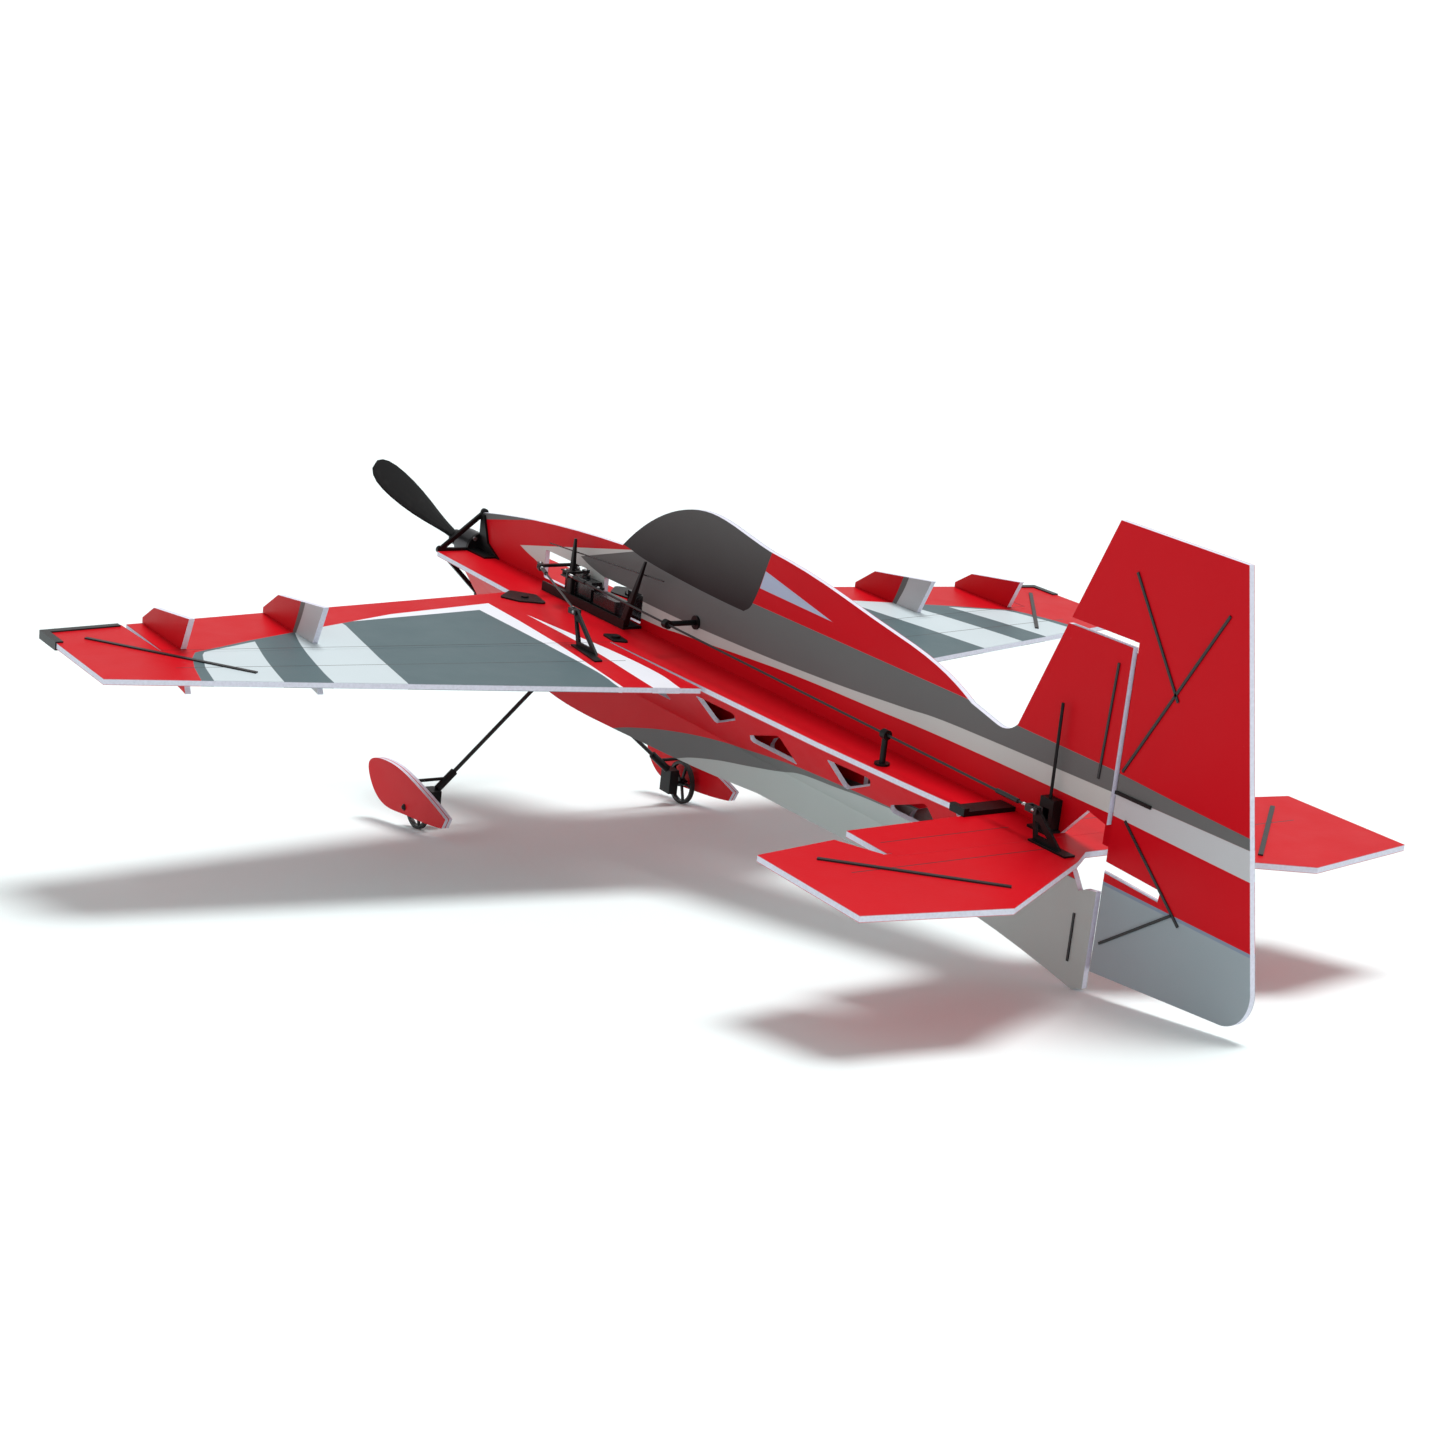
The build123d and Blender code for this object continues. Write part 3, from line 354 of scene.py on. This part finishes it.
# ---- materials ----------------------------------------------------------------------------------
def film_on_foam(name, art, thickness, depth=None, seam=None):
    """Printed film on the broad faces, bare beaded foam with the film's cut line on the edges.

    thickness is the level direction across the sheet, and depth gives the distance from the
    sheet's middle. seam is the level x at which laminated sheets show a red glue film.
    """
    g = Graph(name)
    x, y, z = g.level()
    across = g.math("ABSOLUTE", g.facing(thickness))
    film = g.above(across, 0.85, soft=0.1)
    beads = g.beads(1.6)
    wash = g.noise(90, detail=3)
    grain = g.noise(0.5, detail=1)
    artwork = art(g, x, y, z)
    print_colour = g.vary(g.vary(artwork, 0.05, wash), 0.03, grain)
    scuffs = g.above(g.noise(5, detail=6, roughness=0.75), 0.73, soft=0.05)
    print_colour = g.paint(print_colour, WHITE, g.math("MULTIPLY", scuffs, 0.10))
    edge_colour = g.vary(FOAM, 0.09, beads)
    if depth is not None:
        cut = g.math("MULTIPLY", g.above(depth(g, x, z), HALF_FOAM - 0.35, soft=0.2), 0.75)
        edge_colour = g.paint(edge_colour, artwork, cut)
    if seam is not None:
        off_seam = g.math("ABSOLUTE", g.math("SUBTRACT", g.math("ABSOLUTE", x), seam))
        edge_colour = g.paint(edge_colour, RED, g.above(0.35, off_seam))
    colour = g.paint(edge_colour, print_colour, film)
    rough_film = g.math("MULTIPLY_ADD", g.noise(25, detail=4), 0.16, 0.34)
    roughness = g.math("MULTIPLY_ADD", film, g.math("SUBTRACT", rough_film, 0.85), 0.85)
    relief = g.math("MULTIPLY", beads, g.math("MULTIPLY_ADD", film, -0.86, 1.0))
    normal = g.bump(relief, 0.25, 0.7)
    normal = g.bump(wash, 1.2, 0.25, normal)
    return g.shade(colour, roughness, normal, Specular_IOR_Level=0.10)


def carbon():
    """Pultruded rod and strip: fine streaks along the length in a semi-gloss resin."""
    g = Graph("carbon_fibre")
    g.level()
    streaks = g.noise(0.35, detail=4, stretch=(1, 0.06, 1))
    colour = g.vary(g.paint((0.005, 0.005, 0.0055, 1), (0.022, 0.022, 0.024, 1), streaks), 0.15, g.noise(12))
    roughness = g.math("MULTIPLY_ADD", streaks, 0.25, 0.28)
    return g.shade(colour, roughness, g.bump(streaks, 0.05, 0.6), Specular_IOR_Level=0.38)


def moulded(name, colour, roughness=0.4, texture=0.8, gloss=0.2):
    """Injection-moulded plastic with a fine spark-eroded texture and slight wear."""
    g = Graph(name)
    g.level()
    fine = g.noise(texture, detail=3)
    broad = g.noise(9, detail=4)
    worn = g.paint(colour, tuple(2 * c + 0.005 for c in colour[:3]) + (1,),
                   g.math("MULTIPLY", g.above(broad, 0.62, soft=0.15), 0.35))
    rough = g.math("MULTIPLY_ADD", fine, 0.18, roughness - 0.09)
    return g.shade(g.vary(worn, 0.12, fine), rough, g.bump(fine, 0.06, 0.5), Specular_IOR_Level=gloss)


def wheel_plastic():
    """Wheel with a matt rubbery tread and smoother spokes, told apart by radius."""
    g = Graph("wheel_plastic")
    _, y, z = g.level()
    along = g.math("POWER", g.math("SUBTRACT", y, WHEEL_Y), 2.0)
    up = g.math("POWER", g.math("SUBTRACT", z, WHEEL_Z), 2.0)
    radius = g.math("SQRT", g.math("ADD", along, up))
    tread = g.above(radius, TREAD_RADIUS, soft=0.4)
    dust = g.noise(1.4, detail=5)
    colour = g.paint((0.006, 0.006, 0.0065, 1), (0.03, 0.028, 0.026, 1), g.math("MULTIPLY", tread, dust))
    roughness = g.math("MULTIPLY_ADD", tread, 0.35, 0.38)
    return g.shade(colour, roughness, g.bump(dust, 0.12, 0.5), Specular_IOR_Level=0.3)


def metal(name, colour, roughness, stretch=(1, 1, 1)):
    g = Graph(name)
    g.level()
    marks = g.noise(0.6, detail=5, stretch=stretch)
    rough = g.math("MULTIPLY_ADD", marks, 0.22, roughness - 0.08)
    return g.shade(g.vary(colour, 0.14, marks), rough, g.bump(marks, 0.03, 0.5), Metallic=1.0)


def stator_steel():
    """Lacquered laminations: thin dark lines across the stack."""
    g = Graph("stator_steel")
    _, y, _ = g.level()
    stack = g.math("FRACT", g.math("MULTIPLY", y, 2.4))
    lines = g.above(stack, 0.72, soft=0.2)
    colour = g.paint((0.06, 0.055, 0.052, 1), (0.016, 0.015, 0.015, 1), lines)
    return g.shade(g.vary(colour, 0.2, g.noise(1.2)), 0.5, g.bump(lines, 0.05, 0.6), Metallic=0.5)


def copper_wire():
    g = Graph("copper_wire")
    g.level()
    hue = g.noise(1.1, detail=3)
    colour = g.paint((0.42, 0.13, 0.045, 1), (0.62, 0.25, 0.10, 1), hue)
    rough = g.math("MULTIPLY_ADD", hue, 0.15, 0.24)
    return g.shade(colour, rough, g.bump(hue, 0.03, 0.3), Metallic=0.9, Coat_Weight=0.6)


def woven_strap():
    g = Graph("woven_strap")
    x, y, z = g.level()
    warp = g.math("ABSOLUTE", g.math("SINE", g.math("MULTIPLY", y, 4.2)))
    weft = g.math("ABSOLUTE", g.math("SINE", g.math("MULTIPLY", g.math("ADD", x, z), 4.2)))
    weave = g.math("MULTIPLY", warp, weft)
    colour = g.vary(g.paint((0.01, 0.01, 0.011, 1), (0.05, 0.05, 0.052, 1), weave), 0.2, g.noise(3))
    return g.shade(colour, 0.86, g.bump(weave, 0.3, 0.9), Sheen_Weight=0.3)


def wrapped_pack():
    """Battery in shrink film: dark ends and one plain pale band round the middle."""
    g = Graph("wrapped_pack")
    _, y, _ = g.level()
    band = g.both(g.above(y, BATTERY_BAND[0]), g.above(BATTERY_BAND[1], y))
    colour = g.paint((0.02, 0.022, 0.028, 1), (0.30, 0.33, 0.36, 1), band)
    creases = g.noise(6, detail=5, stretch=(1, 0.35, 1))
    rough = g.math("MULTIPLY_ADD", creases, 0.2, 0.18)
    return g.shade(g.vary(colour, 0.1, creases), rough, g.bump(creases, 0.4, 0.6), Specular_IOR_Level=0.55)


def flat_depth(g, x, z):
    return g.math("ABSOLUTE", g.math("ADD", z, HALF_FOAM))


def upright_depth(g, x, z):
    return g.math("ABSOLUTE", x)


UPRIGHT, FLAT = (1, 0, 0), (0, 0, 1)
LEFT_SLOPE, RIGHT_SLOPE = (45.5, 0, -41), (-45.5, 0, -41)
PANT_SEAM = 127.3

black = moulded("black_plastic", (0.0035, 0.0035, 0.004, 1))
satin = moulded("satin_black", (0.007, 0.007, 0.008, 1), roughness=0.34, texture=1.4)
guard = moulded("guard_plastic", (0.018, 0.019, 0.020, 1), roughness=0.36, texture=1.0)
case = moulded("servo_case", (0.004, 0.0045, 0.006, 1), roughness=0.26, texture=1.8, gloss=0.5)
wing_film = film_on_foam("wing_film", wing_art, FLAT, flat_depth)
red_flat = film_on_foam("red_flat_film", plain_red, FLAT, flat_depth)
profile_film = film_on_foam("profile_film", profile_art, UPRIGHT, upright_depth)
rod_carbon = carbon()
steel = metal("bright_steel", (0.50, 0.50, 0.51, 1), 0.3)
copper = copper_wire()

NODE_MATERIALS = {
    "fuselage_sheet": red_flat,
    "stabiliser": red_flat,
    "elevator": red_flat,
    "upper_profile": profile_film,
    "keel": film_on_foam("keel_film", belly_art, UPRIGHT, upright_depth),
    "rudder": film_on_foam("rudder_film", rudder_art, UPRIGHT, upright_depth),
    "side_panel_left": film_on_foam("left_panel_film", belly_art, LEFT_SLOPE),
    "side_panel_right": film_on_foam("right_panel_film", belly_art, RIGHT_SLOPE),
    "side_plate_inner": film_on_foam("inner_plate_film", inner_plate_art, UPRIGHT),
    "side_plate_outer": film_on_foam("outer_plate_film", plain_red, UPRIGHT),
    "wheel_pant": film_on_foam("pant_film", plain_red, UPRIGHT, seam=PANT_SEAM),
    "wing": wing_film,
    "aileron_strips": rod_carbon,
    "aileron_pushrod": rod_carbon,
    "aileron_horn": black,
    "aileron_servo_arm": satin,
    "aileron_servo": case,
    "aileron": wing_film,
    "tip_guard": guard,
    "elevator_strips": rod_carbon,
    "elevator_horn": black,
    "rudder_horn": black,
    "wing_root_plates": black,
    "elevator_pushrod": rod_carbon,
    "rudder_pushrod": rod_carbon,
    "rudder_braces": rod_carbon,
    "fixed_strips": rod_carbon,
    "gear_strut": rod_carbon,
    "elevator_servo_arm": satin,
    "rudder_servo_arm": satin,
    "elevator_servo": case,
    "rudder_servo": case,
    "receiver": case,
    "propeller": moulded("propeller_plastic", (0.008, 0.008, 0.0085, 1), roughness=0.36, texture=2.2),
    "wheel": wheel_plastic(),
    "motor_stator": stator_steel(),
    "motor_bell": metal("bell_metal", (0.06, 0.06, 0.065, 1), 0.34, (1, 6, 1)),
    "prop_nut": steel,
    "mount_screws": steel,
    "battery": wrapped_pack(),
    "battery_strap": woven_strap(),
    "speed_controller": moulded("sleeve", (0.012, 0.012, 0.014, 1), roughness=0.3, texture=3.0),
}


def dress_nodes():
    """The longest matching name decides; anything left is moulded black plastic."""
    names = sorted(NODE_MATERIALS, key=len, reverse=True)
    for node, obj in frame["nodes"].items():
        match = next((name for name in names if node.startswith(name)), None)
        chosen = NODE_MATERIALS.get(match, black)
        obj.data.materials.clear()
        obj.data.materials.append(chosen)


# ---- added pieces ---------------------------------------------------------------------------------
def add_piece(name, mesh, material):
    mesh.transform(TO_FRAME)
    mesh.materials.append(material)
    piece = bpy.data.objects.new(name, mesh)
    bpy.context.scene.collection.objects.link(piece)
    return piece


def surface(name, rows, closed=False):
    """A mesh from rows of equally many points."""
    mesh = bpy.data.meshes.new(name)
    width = len(rows[0])
    count = len(rows) if closed else len(rows) - 1
    faces = []
    for row in range(count):
        after = (row + 1) % len(rows)
        for column in range(width - 1):
            corner = (row * width + column, row * width + column + 1)
            faces.append((*corner, after * width + column + 1, after * width + column))
    mesh.from_pydata([tuple(point) for row in rows for point in row], [], faces)
    return mesh


def turned(name, base, axis, profile, sides=20):
    """A lathe piece: profile of (radius, height) pairs spun round axis from base."""
    axis = Vector(axis).normalized()
    first = axis.orthogonal().normalized()
    second = axis.cross(first)
    rows = []
    for step in range(sides):
        angle = 2 * math.pi * step / sides
        out = first * math.cos(angle) + second * math.sin(angle)
        rows.append([Vector(base) + out * radius + axis * height for radius, height in profile])
    mesh = surface(name, rows, closed=True)
    work = bmesh.new()
    work.from_mesh(mesh)
    bmesh.ops.remove_doubles(work, verts=work.verts, dist=1e-4)
    bmesh.ops.recalc_face_normals(work, faces=work.faces)
    work.to_mesh(mesh)
    work.free()
    mesh.shade_smooth()
    return mesh


def joined(name, meshes):
    work = bmesh.new()
    for mesh in meshes:
        work.from_mesh(mesh)
        bpy.data.meshes.remove(mesh)
    mesh = bpy.data.meshes.new(name)
    work.to_mesh(mesh)
    work.free()
    return mesh


def screw_profile(radius, height):
    """Domed head with a recessed socket."""
    socket = 0.42 * radius
    return [
        (radius, 0), (radius, 0.35 * height), (0.86 * radius, 0.8 * height), (0.6 * radius, height),
        (socket, height), (0.9 * socket, 0.4 * height), (0, 0.4 * height),
    ]


def hinge_film(name, start, end, across, lift, bodies, material):
    """A thin film over a hinge gap, made as a fixed mesh."""
    steps, film_low, film_top, bend = 24, 0.03, 0.09, 0.6
    start, end, across, lift = Vector(start), Vector(end), Vector(across).normalized(), Vector(lift)
    offsets = (-5, -2.5, -1.2, -0.6, 0, 0.6, 1.2, 2.5, 5)
    rows = []
    for step in range(steps + 1):
        middle = start.lerp(end, step / steps)
        top = [middle + across * offset + lift * film_top for offset in offsets]
        low = [middle + across * offset + lift * film_low for offset in reversed(offsets)]
        rows.append(top + low + top[:1])
    piece = add_piece(name, surface(name, rows), material)
    middle = start.lerp(end, 0.5)
    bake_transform(piece)


def hinge_films():
    for side, word in ((1, "left"), (-1, "right")):
        start = Vector((side * HINGE_IN.x, HINGE_IN.y, 0))
        end = Vector((side * (HINGE_OUT.x - 1), HINGE_OUT.y + 0.1, 0))
        run = (end - start).normalized()
        across = Vector((0, 0, 1)).cross(run) * side
        bodies = ("airframe", f"aileron_{word}")
        hinge_film(f"aileron_hinge_film_{word}", start, end, across, (0, 0, 1), bodies, wing_film)
    ends = (-TAIL_HINGE_X, TAIL_HINGE_Y, 0), (TAIL_HINGE_X, TAIL_HINGE_Y, 0)
    hinge_film("elevator_hinge_film", *ends, (0, 1, 0), (0, 0, 1), ("airframe", "elevator"), red_flat)
    ends = (
        (-HALF_FOAM, RUDDER_HINGE_Y, RUDDER_HINGE_LOW), (-HALF_FOAM, RUDDER_HINGE_Y, RUDDER_HINGE_TOP),
    )
    hinge_film("rudder_hinge_film", *ends, (0, 1, 0), (-1, 0, 0), ("airframe", "rudder"), profile_film)


def windings():
    """Coils of round wire, each wound in one layer round its stator tooth."""
    turns, steps, wire_radius = 7, 16, 0.24
    coil_start, coil_length, half_wide, half_deep = 5.5, 3.9, 1.12, 5.9
    wires = []
    for tooth in range(STATOR_TEETH):
        angle = 2 * math.pi * tooth / STATOR_TEETH
        out = Vector((math.cos(angle), 0, math.sin(angle)))
        side = Vector((-math.sin(angle), 0, math.cos(angle)))
        points = []
        for step in range(turns * steps + 1):
            turn = 2 * math.pi * step / steps
            radius = coil_start + coil_length * step / (turns * steps)
            reach = Vector((half_wide * math.cos(turn), half_deep * math.sin(turn)))
            points.append(out * radius + side * reach.x + Vector((0, STATOR_Y + reach.y, 0)))
        wires.append(tube(f"wire_{tooth}", points, wire_radius))
    piece = add_piece("copper_windings", joined("copper_windings", wires), copper)
    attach(piece, "airframe")


def tube(name, points, radius, sides=8):
    """A round wire through the points, made as a plain mesh."""
    rows = []
    for index, point in enumerate(points):
        before = points[max(index - 1, 0)]
        after = points[min(index + 1, len(points) - 1)]
        run = (Vector(after) - Vector(before)).normalized()
        first = run.cross(Vector((0.31, 0.22, 0.92))).normalized()
        second = run.cross(first)
        ring = []
        for side in range(sides + 1):
            angle = 2 * math.pi * side / sides
            ring.append(Vector(point) + (first * math.cos(angle) + second * math.sin(angle)) * radius)
        rows.append(ring)
    mesh = surface(name, rows)
    mesh.shade_smooth()
    return mesh


def small_hardware():
    """Screws on the servos' ears and on their arms, and axle caps on the pants."""
    tops = (AILERON_SERVO, ELEVATOR_SERVO, RUDDER_SERVO)
    front_ear, rear_ear, ear_drop = -7.6, 19.6, 6.2
    heads = []
    for x, y, z in tops:
        for ear_y in (y + front_ear, y + rear_ear):
            heads.append(turned("screw", (x, ear_y, z - ear_drop), (0, 0, 1), screw_profile(1.3, 0.9)))
    piece = add_piece("servo_screws", joined("servo_screws", heads), steel)
    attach(piece, "airframe")
    for body, (x, y, z), top in zip(
        ("aileron_servo_arm", "elevator_servo_arm", "rudder_servo_arm"), tops, (2.9, 2.7, 2.7)
    ):
        head = turned(body + "_screw", (x, y, z + top), (0, 0, 1), screw_profile(1.7, 1.0))
        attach(add_piece(body + "_screw", head, steel), body)
    for side, word in ((1, "left"), (-1, "right")):
        cap = [(2.6, 0), (2.6, 0.5), (1.8, 0.7), (1.5, 1.7), (0.8, 2.1), (0, 2.1)]
        mesh = turned("axle_cap", (side * AXLE_END_X, WHEEL_Y, WHEEL_Z), (side, 0, 0), cap)
        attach(add_piece(f"axle_cap_{word}", mesh, satin), "airframe")


def rod_fittings():
    """Bright threaded couplers behind the clevises, and the clevises' pin heads."""
    across, up = Vector((1, 0, 0)), Vector((0, 0, 1))
    rods = (
        ("aileron_pushrod_left", (31, AILERON_SERVO[1], AILERON_ROD_Z), (78, 217, 24), across, 2.5),
        ("aileron_pushrod_right", (-31, AILERON_SERVO[1], AILERON_ROD_Z), (-78, 217, 24), across, 2.5),
        ("elevator_pushrod", (27, ELEVATOR_SERVO[1], TAIL_ROD_Z), (27, 665.4, 18), across, 2.6),
        ("rudder_pushrod", (-26, RUDDER_SERVO[1], TAIL_ROD_Z), (-26, RUDDER_HINGE_Y, 36), up, 2.6),
    )
    clevis_length = 7.0
    thread = [(0.85, 0)]
    for ring in range(8):
        thread += [(1.25, 0.15 + 0.6 * ring), (1.25, 0.4 + 0.6 * ring), (1.0, 0.55 + 0.6 * ring)]
    thread += [(0.85, 4.9)]
    head = [(1.2, 0), (1.2, 0.3), (0.8, 0.6), (0, 0.6)]
    for body, front, rear, rear_normal, rear_reach in rods:
        front, rear = Vector(front), Vector(rear)
        run = (rear - front).normalized()
        parts = [
            turned("thread", front + run * clevis_length, run, thread),
            turned("thread", rear - run * clevis_length, -run, thread),
        ]
        for spot, normal, reach in ((front, up, 2.5), (rear, rear_normal, rear_reach)):
            for side in (1, -1):
                parts.append(turned("pin_head", spot + normal * side * reach, normal * side, head, 14))
        piece = add_piece(body + "_fittings", joined(body + "_fittings", parts), steel)
        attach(piece, body)


# ---- stage ---------------------------------------------------------------------------------------
def stage():
    """A matt paper floor, faintly cyan to offset the red light that the foam throws on it."""
    mesh = bpy.data.meshes.new("floor")
    reach = 9.0
    corners = [(-reach, -reach, 0), (reach, -reach, 0), (reach, reach, 0), (-reach, reach, 0)]
    mesh.from_pydata(corners, [], [(0, 1, 2, 3)])
    floor = bpy.data.objects.new("floor", mesh)
    bpy.context.scene.collection.objects.link(floor)
    g = Graph("floor_paper")
    g.level()
    tone = g.vary((0.85, 0.94, 0.94, 1), 0.01, g.noise(400))
    mesh.materials.append(g.shade(tone, 0.75, Specular_IOR_Level=0.15))


def lights():
    """Bright walls, a dimmer ceiling, and one broad lamp almost overhead, a little to the right."""
    world = bpy.data.worlds.new("studio")
    world.use_nodes = True
    tree = world.node_tree
    coords = tree.nodes.new("ShaderNodeTexCoord")
    split = tree.nodes.new("ShaderNodeSeparateXYZ")
    height = tree.nodes.new("ShaderNodeMapRange")
    tree.links.new(coords.outputs["Generated"], split.inputs[0])
    tree.links.new(split.outputs["Z"], height.inputs["Value"])
    for name, value in (("From Min", 0.2), ("From Max", 0.5), ("To Min", WALL), ("To Max", CEILING)):
        height.inputs[name].default_value = value
    background = tree.nodes["Background"]
    background.inputs["Color"].default_value = (1, 1, 1, 1)
    tree.links.new(height.outputs[0], background.inputs["Strength"])
    bpy.context.scene.world = world
    lamp = bpy.data.lights.new("key", "SUN")
    lamp.angle = math.radians(24)
    lamp.energy = KEY_POWER
    holder = bpy.data.objects.new("key", lamp)
    bpy.context.scene.collection.objects.link(holder)
    holder.matrix_world = Vector(KEY_FROM).to_track_quat("Z", "Y").to_matrix().to_4x4()
    bpy.context.scene.view_settings.view_transform = "Standard"


def camera():
    """Above and behind the left tail, with the slight roll of a hand-held shot."""
    spot = (1000.9, 1739.9, 452.7)
    right, ahead = Vector((-0.8330, 0.5433, 0.1046)), Vector((-0.5496, -0.7907, -0.2697))
    right = (right - ahead * right.dot(ahead) / ahead.length_squared).normalized()
    back = -ahead.normalized()
    turn = Matrix((right, back.cross(right), back)).transposed()
    data = bpy.data.cameras.new("camera")
    data.sensor_width = 36.0
    data.lens = 64.42
    holder = bpy.data.objects.new("camera", data)
    bpy.context.scene.collection.objects.link(holder)
    level_turn = Matrix.Rotation(-TILT, 4, "X") @ turn.to_4x4()
    holder.matrix_world = Matrix.Translation(place(*spot)) @ level_turn
    bpy.context.scene.camera = holder


camera()
dress_nodes()
hinge_films()
windings()
small_hardware()
rod_fittings()
stage()
lights()
